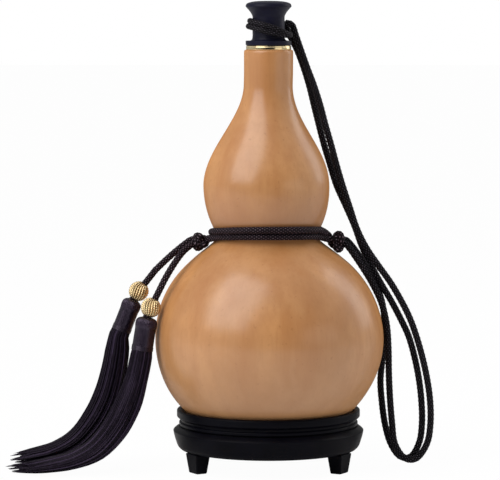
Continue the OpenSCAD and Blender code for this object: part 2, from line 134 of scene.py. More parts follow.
# Middle line of each skirt from the foot of its head, out to the left, to the front and up, with the
# half width and half height of the skirt there
SKIRT_LEFT = [
    ((2.2, 0.2, -10.7), 6.2, 6.9), ((4.4, 1.2, -23.7), 7.4, 7.4), ((8.2, 2, -37.1), 8.6, 7.8),
    ((14.8, 2.2, -49.9), 9.8, 7.6), ((24.4, 1.4, -60.7), 10.8, 6.4), ((37, -0.2, -67.1), 11, 4.8),
    ((50, -1.6, -69.7), 10.4, 3.8), ((61.8, -3, -71.5), 8.4, 2.4),
]
SKIRT_RIGHT = [
    ((3, -0.7, -15), 6.2, 6.4), ((7.4, -1.7, -28.6), 7.6, 7.6), ((14.4, -2.9, -42), 9, 7.6),
    ((24.4, -4.1, -53.4), 10, 6.6), ((36.8, -4.9, -59.6), 10.6, 5), ((49.4, -5.5, -62.2), 10.6, 4),
    ((61.4, -6, -63.6), 10.2, 3), ((73.4, -6.4, -64.4), 8.4, 2.2),
]


def linear(code):
    """An sRGB colour such as C49A6C as linear RGB with alpha."""
    parts = [int(code[i : i + 2], 16) / 255 for i in (0, 2, 4)]
    return tuple(c / 12.92 if c <= 0.04045 else ((c + 0.055) / 1.055) ** 2.4 for c in parts) + (1.0,)


def colour_property(name, description, code):
    return FloatVectorProperty(
        name=name, description=description, subtype="COLOR", min=0, max=1, default=linear(code)[:3]
    )


class GourdBottleColours(bpy.types.PropertyGroup):
    """Colours that a user would change."""

    gourd: colour_property("Gourd", "Waxed skin of the gourd", "B78352")
    lacquer: colour_property("Lacquer", "Black lacquer of the stand and the stopper", "0E0E14")
    strap: colour_property("Strap", "Braided cord of the strap", "09080B")
    waist: colour_property("Waist cord", "Braided cord round the waist and of the tassels", "10090E")
    thread: colour_property("Tassel", "Thread of the tassels", "100B15")
    metal: colour_property("Metal", "Polished metal of the beads and the collar", "F2E2B4")


class GourdBottleSizes(bpy.types.PropertyGroup):
    """Sizes that a user would change."""

    cord: FloatProperty(
        name="Cord thickness", description="Thickness of the braided cord", default=0.0038,
        unit="LENGTH",
    )
    threads: IntProperty(
        name="Tassel threads", description="Threads in each tassel", default=520, min=60, max=900,
    )


def sizes():
    return bpy.context.scene.gourd_bottle_sizes


def chosen(name, red=1.0, green=1.0, blue=1.0):
    """A colour from the panel, with its parts scaled."""
    parts = getattr(bpy.context.scene.gourd_bottle_colours, name)
    return tuple(min(1.0, c * k) for c, k in zip(parts, (red, green, blue))) + (1.0,)


# Meshes


def unit(v):
    """A direction, or each row of an array of them, at length 1."""
    return np.asarray(v, float) / np.linalg.norm(v, axis=-1, keepdims=True)


def lengths_along(points):
    """How far along a path each of its points is."""
    return np.concatenate([[0], np.cumsum(np.linalg.norm(np.diff(points, axis=0), axis=1))])


def new_mesh(name, points, faces, uvs=None):
    """A smooth mesh object from points in millimetres and faces."""
    mesh = bpy.data.meshes.new(name)
    points = np.asarray(points, float) * MM
    mesh.from_pydata(points.tolist(), [], faces)
    mesh.update()
    if uvs is not None:
        layer = mesh.uv_layers.new(name="UVMap")
        loops = np.empty(len(mesh.loops), np.int32)
        mesh.loops.foreach_get("vertex_index", loops)
        layer.data.foreach_set("uv", np.asarray(uvs, np.float32)[loops].ravel())
    mesh.polygons.foreach_set("use_smooth", [True] * len(mesh.polygons))
    thing = bpy.data.objects.new(name, mesh)
    bpy.context.scene.collection.objects.link(thing)
    return thing


def shade_points(thing, values):
    """Keeps a number from 0 to 1 at each point, which materials read as the attribute shade."""
    layer = thing.data.attributes.new("shade", "FLOAT", "POINT")
    layer.data.foreach_set("value", np.asarray(values, np.float32))


def grid_faces(rows, columns, close_rows=False):
    """Quads over a grid of rows by columns of points, closed round the columns."""
    starts = [(i * columns, (i + 1) % rows * columns) for i in range(rows if close_rows else rows - 1)]
    steps = [(k, (k + 1) % columns) for k in range(columns)]
    return [(a + k, a + n, b + n, b + k) for a, b in starts for k, n in steps]


# The smallest ring of a turned surface, in place of a point on its axis
LEAST_R = 0.01


def revolve(name, profile, turns, shift=None):
    """A surface turned round Z from a list of (radius, height), each ring changed by shift."""
    angles = np.linspace(0, 2 * pi, turns, endpoint=False)
    rings = []
    for r, z in profile:
        r = max(r, LEAST_R)
        ring = np.stack([r * np.cos(angles), r * np.sin(angles), np.full(turns, float(z))], 1)
        rings.append(ring if shift is None else shift(ring))
    return new_mesh(name, np.concatenate(rings), grid_faces(len(rings), turns))


def rounded(profile, radius, steps=5):
    """A profile with its inner corners rounded by arcs of about the given radius."""
    out = [profile[0]]
    for i in range(1, len(profile) - 1):
        p, a, b = (np.array(profile[k], float) for k in (i, i - 1, i + 1))
        da, db = a - p, b - p
        la, lb = np.linalg.norm(da), np.linalg.norm(db)
        cut = min(radius, la * 0.45, lb * 0.45)
        if cut < 2 * LEAST_R:
            out.append(tuple(p))
            continue
        s, e = p + da / la * cut, p + db / lb * cut
        for t in np.linspace(0, 1, steps):
            out.append(tuple((1 - t) ** 2 * s + 2 * t * (1 - t) * p + t**2 * e))
    out.append(profile[-1])
    return out


# Steps of a smooth curve between two of its given points
SPLINE_STEPS = 24


def smooth_path(points, step, closed=False):
    """Points at an even step along a smooth curve through the given points, and the curve's length."""
    p = np.asarray(points, float)
    if closed:
        p = np.concatenate([p[-1:], p, p[:2]])
    else:
        p = np.concatenate([[2 * p[0] - p[1]], p, [2 * p[-1] - p[-2]]])
    fine = []
    for a, b, c, d in zip(p, p[1:], p[2:], p[3:]):
        square, cube = 2 * a - 5 * b + 4 * c - d, 3 * b - a - 3 * c + d
        for t in np.linspace(0, 1, SPLINE_STEPS, endpoint=False):
            fine.append(0.5 * (2 * b + (c - a) * t + square * t**2 + cube * t**3))
    fine = np.array(fine + [p[-2]])
    along = lengths_along(fine)
    rings = max(3, int(round(along[-1] / step)) + 1)
    at = np.linspace(0, along[-1], rings)
    out = np.stack([np.interp(at, along, fine[:, k]) for k in range(3)], 1)
    return (out[:-1] if closed else out), along[-1]


def path_frames(path, closed=False):
    """Two directions square to a path at each of its points, carried along without twisting."""
    if closed:
        tangent = np.roll(path, -1, 0) - np.roll(path, 1, 0)
    else:
        tangent = np.gradient(path, axis=0)
    tangent = unit(tangent)
    side = np.empty_like(path)
    side[0] = unit(np.cross(ACROSS if abs(tangent[0] @ ACROSS) < 0.9 else UP, tangent[0]))
    for i in range(1, len(path)):
        side[i] = unit(side[i - 1] - tangent[i] * (side[i - 1] @ tangent[i]))
    if closed:
        v = unit(side[-1] - tangent[0] * (side[-1] @ tangent[0]))
        twist = atan2(np.cross(v, side[0]) @ tangent[0], v @ side[0])
        angle = np.linspace(0, twist, len(path), endpoint=False)[:, None]
        other = np.cross(tangent, side)
        side = side * np.cos(angle) + other * np.sin(angle)
    return side, np.cross(tangent, side)


def sweep_points(path, reach, turn, closed=False):
    """Points round a path, at their own distances from it and turned by their own angles."""
    side, other = (v[:, None] for v in path_frames(path, closed))
    x, y = (reach * np.cos(turn))[..., None], (reach * np.sin(turn))[..., None]
    return (path[:, None] + x * side + y * other).reshape(-1, 3)


# A braid's carriers round the cord, the length of one of its cells, and how far they stand out
BRAID_CELLS = 7
BRAID_CELL_L = 1.2
BRAID_RELIEF = 0.4

# Columns of points round a cord, the step between its rings, and the points that its route keeps
CORD_COLUMNS = 40
CORD_STEP = 0.27
ROUTE_POINTS = 160


def braid_height(cells, turn):
    """Height from 0 to 1 of a braid: strands of two hands that pass over and under each other."""
    u = BRAID_CELLS * turn + 0.5 * cells
    v = BRAID_CELLS * turn - 0.5 * cells
    over = (np.floor(u) + np.floor(v)) % 2 < 1
    across = np.where(over, v - np.floor(v), u - np.floor(u))
    lengthways = np.where(over, u - np.floor(u), v - np.floor(v))
    return np.sin(pi * across) ** 0.6 * (0.55 + 0.45 * np.sin(pi * lengthways))


def braided_cord(name, points, radius, closed=False, step=CORD_STEP):
    """A cord along a path with the braid in its mesh, then the path's points and its length."""
    path, length = smooth_path(points, step, closed)
    rings = len(path)
    turn = np.arange(CORD_COLUMNS) / CORD_COLUMNS
    along = np.arange(rings) / (rings if closed else rings - 1)
    cells = max(1, round(length / BRAID_CELL_L / 2)) * 2 if closed else length / BRAID_CELL_L
    s, t = np.meshgrid(along, turn, indexing="ij")
    height = braid_height(s * cells, t)
    points = sweep_points(path, radius - BRAID_RELIEF * (1 - height), 2 * pi * t, closed)
    faces = grid_faces(rings, CORD_COLUMNS, closed)
    if not closed:
        faces.append(tuple(range(CORD_COLUMNS - 1, -1, -1)))
        faces.append(tuple((rings - 1) * CORD_COLUMNS + k for k in range(CORD_COLUMNS)))
    uvs = np.stack([t.ravel(), (s * length / (2 * pi * radius)).ravel()], 1)
    thing = new_mesh(name, points, faces, uvs)
    # The braid's height is kept as the shade; the cord material paints a highlight on its crests
    shade_points(thing, height.ravel())
    return thing, path[:: max(1, rings // ROUTE_POINTS)], length


# Materials


COLOURS = {"data_type": "RGBA"}
PRODUCT = {"operation": "MULTIPLY"}


def join(node, *values, **named):
    """Gives a node's inputs values or links, in their order or by name, and returns the node."""
    usable = [socket for socket in node.inputs if socket.enabled]
    pairs = list(zip(usable, values))
    pairs += [(node.inputs[key.replace("_", " ")], value) for key, value in named.items()]
    for socket, value in pairs:
        if isinstance(value, bpy.types.Node):
            value = next(output for output in value.outputs if output.enabled)
        if isinstance(value, bpy.types.NodeSocket):
            node.id_data.links.new(value, socket)
        else:
            socket.default_value = value
    return node


def add(tree, kind, *values, settings=None, **named):
    """Adds a node with its settings and links."""
    node = tree.nodes.new("ShaderNode" + kind)
    for key, value in (settings or {}).items():
        setattr(node, key, value)
    return join(node, *values, **named)


def new_material(name):
    """A new material, what adds a node to it, its shader and the place of each point, in metres."""
    made = bpy.data.materials.new(name)
    made.use_nodes = True
    node = partial(add, made.node_tree)
    return made, node, made.node_tree.nodes["Principled BSDF"], node("TexCoord").outputs["Object"]


def scale_for(size):
    """A pattern's scale for details of a size in millimetres."""
    return 1 / (size * MM)


def gourd_material():
    """Waxed skin of a dried gourd: warm tan, mottled, with fine grain up and down and a soft shine."""
    made, node, skin, place = new_material("gourd_skin_waxed")
    # Size in millimetres, squeeze up and down, detail and roughness of each pattern
    blotch, band, cloud, grain, fleck = (
        node("TexNoise", node("Mapping", place, Scale=(1, 1, squeeze)), scale_for(size), detail, rough)
        for size, squeeze, detail, rough in (
            (30, 0.6, 4, 0.55), (11, 0.1, 3, 0.5), (9, 0.8, 5, 0.62),
            (1.6, 0.08, 3, 0.6), (2.2, 1, 2, 0.5),
        )
    )
    height = node("SeparateXYZ", place).outputs["Z"]
    colour = node("ValToRGB", node("MapRange", blotch, 0.34, 0.66))
    stops = colour.color_ramp.elements
    stops.new(0.5)
    for stop, tint in zip(stops, ((0.86, 0.80, 0.74), (1, 1, 1), (1.12, 1.13, 1.12))):
        stop.color = chosen("gourd", *tint)
    # The last row paints the pale floor's reflection: a greyer tint towards the foot
    for pattern, low, high, most, tint in (
        (band, 0.48, 0.66, 0.6, (0.86, 0.74, 0.6)),
        (cloud, 0.42, 0.68, 0.5, (0.9, 0.82, 0.74)),
        (grain, 0.5, 0.75, 0.22, (0.7, 0.6, 0.5)),
        (fleck, 0.67, 0.74, 0.3, (0.55, 0.42, 0.32)),
        (height, 85 * MM, 30 * MM, 0.5, (0.84, 1.0, 1.4)),
    ):
        share = node("MapRange", pattern, low, high, 0, most)
        colour = node("Mix", share, colour, chosen("gourd", *tint), settings=COLOURS)
    # Painted shade: the hollow over the waist cords, under the upper bulb, is darkened browner
    over = node("MapRange", height, 158 * MM, 132 * MM, 0, 0.75)
    hollow = node("Math", over, node("MapRange", height, 124 * MM, 130 * MM), settings=PRODUCT)
    colour = node("Mix", hollow, colour, chosen("gourd", 0.74, 0.68, 0.72), settings=COLOURS)
    swell = node("Bump", Height=cloud, Distance=0.16 * MM, Strength=0.5)
    relief = node("Bump", Height=grain, Distance=0.03 * MM, Strength=0.6, Normal=swell)
    # The wax shines where it faces the eye, and its dull rim keeps the room's grey off the edges
    facing = node("LayerWeight", 0.5).outputs["Facing"]
    join(skin, Base_Color=colour, IOR=1.46, Roughness=node("MapRange", cloud, 0.3, 0.7, 0.42, 0.54))
    join(skin, Coat_Weight=node("MapRange", facing, 0.3, 0.75, 0.85, 0.04), Coat_IOR=1.55)
    join(skin, Specular_IOR_Level=node("MapRange", facing, 0.35, 0.8, 0.3, 0.02))
    join(skin, Coat_Roughness=0.24, Normal=relief)
    return made


def lacquer_material(name, lift, blue, roughness, shine):
    """Satin black lacquer with faint brush marks and a little wear in its shine."""
    made, node, skin, place = new_material(name)
    cloud = node("TexNoise", place, scale_for(12), 4, 0.6)
    brush = node("TexNoise", place, scale_for(0.6), 3, 0.6)
    tones = [chosen("lacquer", lift * k, lift * k, lift * blue * k) for k in (0.8, 1.5)]
    colour = node("Mix", node("MapRange", cloud, 0.3, 0.7), *tones, settings=COLOURS)
    wear = node("MapRange", cloud, 0.3, 0.7, roughness - 0.04, roughness + 0.06)
    relief = node("Bump", Height=brush, Distance=0.02 * MM, Strength=0.5)
    join(skin, Base_Color=colour, IOR=1.5, Roughness=wear, Normal=relief, Specular_IOR_Level=shine)
    return made


def brass_material(name, tint, roughness):
    """Polished yellow metal with fine scratches, and painted shade: nearly black where the piece's
    shade value is low, as in a bead's grooves.
    """
    made, node, skin, place = new_material(name)
    cloud = node("TexNoise", place, scale_for(4), 4, 0.6)
    scratch = node("TexNoise", node("Mapping", place, Scale=(1, 1, 14)), scale_for(3), 3, 0.6)
    shade = node("Attribute", settings={"attribute_name": "shade"}).outputs["Fac"]
    colour = chosen("metal", 1, tint, tint**2)
    # The first row is random tone; the second is painted shade, near black in the grooves where the
    # shade value is low
    for pattern, low, high, most, other in (
        (cloud, 0.45, 0.7, 0.5, (0.8, 0.62 * tint, 0.5 * tint)),
        (shade, 0.5, 0.08, 0.96, (0.03, 0.022, 0.012)),
    ):
        share = node("MapRange", pattern, low, high, 0, most)
        colour = node("Mix", share, colour, chosen("metal", *other), settings=COLOURS)
    wear = node("MapRange", scratch, 0.3, 0.7, roughness - 0.05, roughness + 0.08)
    relief = node("Bump", Height=scratch, Distance=0.015 * MM, Strength=0.4)
    join(skin, Base_Color=colour, Metallic=1.0, Roughness=wear, Normal=relief)
    return made


def cord_material(name, which, light):
    """Braided synthetic cord: fine filaments, with a painted highlight, a bright fleck on the crest of
    each strand.
    """
    made, node, skin, place = new_material(name)
    # The wave gives 83 filaments round the cord, about 0.14 mm each
    round_cord = node("TexCoord").outputs["UV"]
    filament = node("TexWave", round_cord, Scale=26.0, Distortion=2.0, Detail=2.0).outputs["Fac"]
    cloud = node("TexNoise", place, scale_for(3), 3, 0.6)
    shade = node("Attribute", settings={"attribute_name": "shade"}).outputs["Fac"]
    crest_highlight = node("MapRange", shade, 0.84, 0.98)
    # The fleck is a painted highlight on the strands' crests, broken up by the cloud
    fleck = node("Math", crest_highlight, node("MapRange", cloud, 0.35, 0.65, 0.35, 1.0), settings=PRODUCT)
    colour = node("Mix", fleck, chosen(which), linear(light), settings=COLOURS)
    fuzz = node("MapRange", cloud, 0.3, 0.7, 0.5, 0.66)
    relief = node("Bump", Height=filament, Distance=0.03 * MM, Strength=0.5)
    join(skin, Base_Color=colour, IOR=1.5, Roughness=fuzz, Normal=relief, Specular_IOR_Level=0.1)
    return made


def thread_material(name, lift, light, roughness, shine):
    """Satin rayon thread: near black with a purple tint, some threads lighter than others, and a
    painted highlight on the fold crests of a head's cap.
    """
    made, node, skin, place = new_material(name)
    cloud = node("TexNoise", place, scale_for(3), 3, 0.6)
    streak = node("TexNoise", node("Mapping", place, Scale=(1, 1, 0.12)), scale_for(0.7), 3, 0.6)
    shade = node("Attribute", settings={"attribute_name": "shade"}).outputs["Fac"]
    colour = chosen("thread", lift, lift, lift)
    # The shade row lightens the threads that are lighter of their own and paints a highlight on the
    # crests of a head's cap folds; the cloud row is random tone
    for pattern, low, high, most in ((shade, 0.7, 1.0, 1.0), (cloud, 0.5, 0.8, 0.3)):
        share = node("MapRange", pattern, low, high, 0, most)
        colour = node("Mix", share, colour, linear(light), settings=COLOURS)
    satin = node("MapRange", streak, 0.3, 0.7, roughness - 0.08, roughness + 0.08)
    relief = node("Bump", Height=streak, Distance=0.04 * MM, Strength=0.5)
    join(skin, Base_Color=colour, IOR=1.5, Roughness=satin, Normal=relief)
    join(skin, Specular_IOR_Level=shine, Specular_Tint=linear("E4D2F0"))
    return made


def plain_material(name, code, roughness, size, depth, metallic=0.0):
    """A hidden piece's finish: one colour family, with mottling and relief of a size in millimetres."""
    made, node, skin, place = new_material(name)
    cloud = node("TexNoise", place, scale_for(size), 4, 0.6)
    darker = tuple(c * 0.7 for c in linear(code)[:3]) + (1.0,)
    colour = node("Mix", node("MapRange", cloud, 0.35, 0.7), darker, linear(code), settings=COLOURS)
    wear = node("MapRange", cloud, 0.3, 0.7, roughness - 0.06, roughness + 0.06)
    relief = node("Bump", Height=cloud, Distance=depth * MM, Strength=0.5)
    join(skin, Base_Color=colour, Metallic=metallic, Roughness=wear, Normal=relief)
    return made


# Each look's function and its values
LOOKS = {
    "gourd": (gourd_material,),
    "stand": (lacquer_material, "stand_satin_black_lacquer", 0.36, 1.3, 0.42, 0.06),
    "stopper": (lacquer_material, "stopper_satin_black_lacquer", 1.45, 1.6, 0.42, 0.13),
    "brass": (brass_material, "collar_polished_brass", 0.97, 0.14),
    "gold": (brass_material, "bead_polished_gold", 0.925, 0.14),
    # A cord's last colour is the painted highlight on the crests of its strands
    "strap": (cord_material, "strap_black_braid", "strap", "746D7A"),
    "waist": (cord_material, "waist_cord_black_brown_braid", "waist", "A08A98"),
    # The satin's lighter colour is a painted highlight on the cap's fold crests and also random tone
    "satin": (thread_material, "tassel_head_black_satin", 1.2, "2A1F30", 0.3, 0.6),
    "thread": (thread_material, "tassel_black_rayon_thread", 0.7, "3A3044", 0.46, 0.2),
    "lining": (plain_material, "lining_sealing_coat", "7A5231", 0.35, 6, 0.03),
    "bushing": (plain_material, "bushing_turned_hardwood", "6B452A", 0.5, 3, 0.04),
    "plug": (plain_material, "plug_turned_hardwood", "4A3424", 0.5, 3, 0.04),
    "rubber": (plain_material, "seal_silicone_rubber", "D8D2C6", 0.55, 2, 0.02),
    "steel": (plain_material, "stud_turned_steel", "B4B5B8", 0.3, 1, 0.02, 1.0),
    "dowel": (plain_material, "dowel_plain_hardwood", "9A7650", 0.6, 2, 0.04),
}
MATERIALS = {}


def material(look):
    """A look's material, made once and shared."""
    if look not in MATERIALS:
        maker, *values = LOOKS[look]
        MATERIALS[look] = maker(*values)
    return MATERIALS[look]


def dress(thing, look):
    """Gives a piece its material, and an even shade where it has none of its own."""
    if look in ("brass", "gold", "satin", "thread") and "shade" not in thing.data.attributes:
        shade_points(thing, np.full(len(thing.data.vertices), 0.6))
    thing.data.materials.clear()
    thing.data.materials.append(material(look))


def finish_piece(thing, look, body, node):
    """Dresses a piece, lets it ride on a body and hides the node that it stands for."""
    dress(thing, look)
    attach(thing, body)
    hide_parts(node)


# The gourd


def bulb(z, middle, radius, half):
    return radius * sqrt(max(0.0, 1 - ((z - middle) / half) ** 2))


def gourd_r(z, inset=0.0):
    """Radius of the gourd's outline at a height, or of the same outline drawn in."""
    if z > UPPER_Z:
        share = min(1.0, (z - UPPER_Z) / SHOULDER_H)
        return NECK_R - inset + (UPPER_R - NECK_R) * (1 + cos(pi * share)) / 2
    low = bulb(z, LOWER_Z, LOWER_R - inset, LOWER_HALF - inset)
    high = bulb(z, UPPER_Z, UPPER_R - inset, UPPER_DROP - inset)
    return (low**4 + high**4) ** 0.25


# How far the grown gourd's middle line leans to the right, at heights above its base
LEAN_HEIGHTS = (0, 30, 58, 100, 118, 145, 185, 205, 230)
LEANS = (0, 0, 0.6, 0.2, -0.9, -1.2, -0.5, 0, 0)


def lean_at(z):
    return float(np.interp(z - BASE_Z, LEAN_HEIGHTS, LEANS))


def gourd_profile():
    """Outline of the gourd from the middle of its base, over the mouth, to the middle of its hollow."""
    outer = [(r, BASE_Z + up) for r, up in ((0, 1.6), (1.4, 1.5), (3, 0.9), (5, 0.5))]
    heights = [LOWER_Z - LOWER_HALF * cos(a) for a in np.radians(np.linspace(8, 90, 44))]
    heights += list(np.linspace(LOWER_Z, NECK_Z - 1.2, 150)[1:])
    outer += [(gourd_r(z), z) for z in heights]
    outer += [(NECK_R - cut, NECK_Z - down) for cut, down in ((0.12, 0.5), (0.4, 0.15), (0.9, 0))]
    outer += [(BUSH_HIGH[0], NECK_Z), (BUSH_HIGH[0], BUSH_LOW[2])]
    heights = list(np.linspace(BUSH_LOW[2], LOWER_Z, 60))
    heights += [LOWER_Z - (LOWER_HALF - WALL) * cos(a) for a in np.radians(np.linspace(84, 0, 15))]
    return outer + [(gourd_r(z, WALL), z) for z in heights]


# How far the skin's wide swells and its smaller dents stand out or in
SWELL = 0.45
DENT = 0.16


def grown(ring):
    """A ring of the gourd moved to its leaning middle line, and uneven between its seat and mouth."""
    z = ring[0, 2]
    out = ring.copy()
    calm = min(1.0, max(0.0, (z - BASE_Z - 26) / 22)) * min(1.0, max(0.0, (NECK_Z - 4 - z) / 18))
    for k, (x, y, h) in enumerate(ring):
        swell = noise.noise(Vector((x * 0.018, y * 0.018, h * 0.016 + 4.0)))
        dent = noise.noise(Vector((x * 0.05 + 7, y * 0.05, h * 0.045)))
        radius = hypot(x, y)
        if radius > 0.5:
            out[k, :2] *= 1 + calm * (SWELL * swell + DENT * dent) / radius
    out[:, 0] += lean_at(z)
    return out


def build_gourd():
    thing = revolve("gourd_skin", gourd_profile(), 192, grown)
    finish_piece(thing, "gourd", "bottle", "gourd_shell")


# The mouth and the stopper


def build_collar():
    """Ring on the end of the neck, with a rolled lip at its top."""
    r, low, high = COLLAR_HIGH[0], COLLAR_LOW[2], COLLAR_HIGH[2]
    inner = BUSH_HIGH[0]
    profile = [(inner, low), (r - 0.25, low), (r, low + 0.25)]
    for cut, down in ((0, 1), (0.12, 0.85), (0.02, 0.7), (0.02, 0.3), (0.35, 0)):
        profile.append((r - cut, high - down))
    profile += [(inner, high), (inner, low)]
    thing = revolve("collar_brass", rounded(profile, 0.16), 128)
    finish_piece(thing, "brass", "bottle", "mouth_collar")


# Heights of the stopper's flange, grip and flare, and the grip's radius
FLANGE_H = 2.4
GRIP_H = 13.0
FLARE_H = 5.6
GRIP_R = 8.8

# The groove under the flange that the washer sits in, and its edge
GROOVE_H = 0.8
GROOVE_R = 6.6
EDGE_H = 0.5


def build_stopper():
    """Turned head of the stopper: flange, grip, trumpet flare and a low dome."""
    low, high = HEAD_LOW[2], HEAD_HIGH[2]
    r = HEAD_HIGH[0]
    hollow = BUSH_HIGH[0]
    grip = low + FLANGE_H
    flare = grip + GRIP_H
    dome = flare + FLARE_H + EDGE_H
    profile = [(0, low + 0.1), (GROOVE_R, low + 0.1), (GROOVE_R, low + GROOVE_H)]
    profile += [(hollow, low + GROOVE_H), (hollow, low), (r, low), (r, grip - 0.1), (r - 0.1, grip)]
    for out, up in ((1.4, 0), (0.5, 0.5), (0.1, 1.4), (0, 3), (0.1, 6), (0, GRIP_H - 2)):
        profile.append((GRIP_R + out, grip + up))
    profile += [(GRIP_R + (r - GRIP_R) * u**1.5, flare + FLARE_H * u) for u in np.linspace(0, 1, 12)]
    profile.append((r, dome))
    for a in np.radians(np.linspace(14, 90, 16)):
        profile.append((r * cos(a) ** 0.75, dome + (high - dome) * sin(a) ** 0.8))
    thing = revolve("stopper_turned", rounded(profile, 0.35), 128)
    finish_piece(thing, "stopper", "stopper", "stopper_head")


# How steeply the noose slants on the grip, and the points in each of its turns
NOOSE_TILT = radians(15.5)
LOOP_POINTS = 48


def build_noose(radius):
    """Two turns of the strap's cord, pulled tight on the slant and squeezed where the strap leaves."""
    low, high = box_mm("stopper_noose")
    middle = (low[2] + high[2]) / 2
    ring = GRIP_R / cos(NOOSE_TILT) + radius * 0.96 + 0.2
    # Side of the middle, name, and how far the tight part is pushed out and down
    for side, name, push, sink in ((-1, "noose_turn_lower", 0.1, 0), (1, "noose_turn_upper", 1.3, 0.5)):
        points = []
        for k in range(LOOP_POINTS):
            a = 2 * pi * k / LOOP_POINTS
            tight = max(0.0, cos(a)) ** 1.5
            out = ring + push * tight
            rise = side * radius * 0.88 * (1 - 0.72 * tight) - sink * tight
            x, y = out * cos(a), out * sin(a)
            tilted = x * cos(NOOSE_TILT) + rise * sin(NOOSE_TILT)
            height = middle - x * sin(NOOSE_TILT) + rise * cos(NOOSE_TILT)
            points.append((tilted, y, height))
        thing, _, _ = braided_cord(name, points, radius * 0.98, closed=True)
        finish_piece(thing, "strap", "stopper", "stopper_noose")


# The waist cords and their knots


def knot_place(side):
    low, high = box_mm("left_knot" if side < 0 else "right_knot")
    return (low + high) / 2


# How far the waist cords rise at the front, the share of a turn that bends out to a knot, in radians,
# and how far short of the knot's middle it ends
FRONT_LIFT = 2.7
NEAR_KNOT = 0.24
KNOT_SHORT = 1.6
WAIST_POINTS = 72


def near(angle):
    """1 where an angle is a full turn, falling to 0 on both sides."""
    return exp(-((atan2(sin(angle), cos(angle)) / NEAR_KNOT) ** 2))


def waist_points(z, radius, dip_left, dip_right, drop):
    """A turn round the waist that lies on the gourd, rises at the front and runs out into the knots."""
    left, right = knot_place(-1), knot_place(1)
    inner_half = [(radius * sin(b), radius * cos(b)) for b in np.linspace(-1.4, 1.4, 21)]
    points = []
    for k in range(WAIST_POINTS):
        a = 2 * pi * k / WAIST_POINTS
        h = z + FRONT_LIFT * max(0.0, -sin(a)) ** 0.7 - drop * max(0.0, -cos(a)) ** 2
        reach = max(gourd_r(h + up) + out for up, out in inner_half)
        reach += 0.15 * noise.noise(Vector((cos(a), sin(a), z))) + 0.12
        x, y = reach * cos(a) + lean_at(h), reach * sin(a)
        pull_r, pull_l = near(a) * dip_right, near(a - pi) * dip_left
        x += pull_r * (right[0] - KNOT_SHORT - x) + pull_l * (left[0] + KNOT_SHORT - x)
        h += pull_r * (right[2] - h) + pull_l * (left[2] - h)
        points.append((x, y, h))
    return points


def build_waist(radius):
    """The two turns round the waist, the lower one drawn into both knots."""
    for name, node, dips, drop in (
        ("waist_turn_upper", "waist_cord_upper", (0.0, 0.55), 1.1),
        ("waist_turn_lower", "waist_cord_lower", (0.8, 0.8), 0.4),
    ):
        low, high = box_mm(node)
        points = waist_points((low[2] + high[2]) / 2, radius, *dips, drop)
        thing, _, _ = braided_cord(name, points, radius, closed=True)
        finish_piece(thing, "waist", "bottle", node)


def knot_points(place, width, height, depth, turn):
    """The three lobes of a tight overhand knot, facing the front."""
    points = []
    for k in range(LOOP_POINTS):
        t = 2 * pi * k / LOOP_POINTS
        x = sin(t) + 2 * sin(2 * t)
        z = cos(t) - 2 * cos(2 * t)
        y = -sin(3 * t)
        x, z = x * cos(turn) - z * sin(turn), x * sin(turn) + z * cos(turn)
        points.append((place[0] + x * width / 3, place[1] + y * depth, place[2] + z * height / 3))
    return points


def build_knots(radius):
    """The knots at both sides of the waist, pulled a little to the front and down."""
    for side, word, height in ((-1, "left", 3.6), (1, "right", 4.4)):
        place = knot_place(side) + np.array((0, -1.6, -0.5))
        points = knot_points(place, 3.2, height, 2.2, 0.5 * side)
        thing, _, _ = braided_cord("knot_" + word, points, radius * 1.1, closed=True, step=0.26)
        finish_piece(thing, "waist", "bottle", word + "_knot")


# The strap, beads and tassels


def state_cord(thing, node, slot, path, length, radius, **more):
    """Hides the node that a cord stands for."""
    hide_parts(node)


def build_strap(radius):
    """The two strands of the strap, from the right knot down, round and up to the stopper."""
    knot = knot_place(1)
    for side, route, lift in (("outer", STRAP_OUTER, 1.32), ("inner", STRAP_INNER, 1.08)):
        start, (x, y, z) = np.array(route[-1]), route[0]
        # It begins inside the knot and ends behind the noose
        first = start + (knot - start) * 0.62
        points = [tuple(first)] + route[::-1] + [(x * 0.72, y * 0.9, z + lift)]
        thing, path, length = braided_cord("strap_" + side, points, radius)
        dress(thing, "strap")
        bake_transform(thing)
        ends = {"exit": tuple(first * MM), "far_end": "object"}
        state_cord(thing, "strap_strand_" + side, "strap_cord", path, length, radius, **ends)


def along_axis(points, at, direction):
    """Points built round +Z, turned to a direction and moved to a place."""
    d = unit(direction)
    side = unit(np.cross(ACROSS, d))
    other = np.cross(d, side)
    p = np.asarray(points, float)
    return np.asarray(at) + p[:, :1] * side + p[:, 1:2] * other + p[:, 2:3] * d


# A bead's radius and hole, its ribs from pole to pole with their depth and twist, and their notches
BEAD_R = 5.6
BEAD_HOLE = 2.05
BEAD_RIBS = 20
RIB_COLUMNS = 10
RIB_DEPTH = 0.7
RIB_TWIST = 0.35
NOTCHES = 30
NOTCH_SHIFT = 2.6
BEAD_RINGS = 84


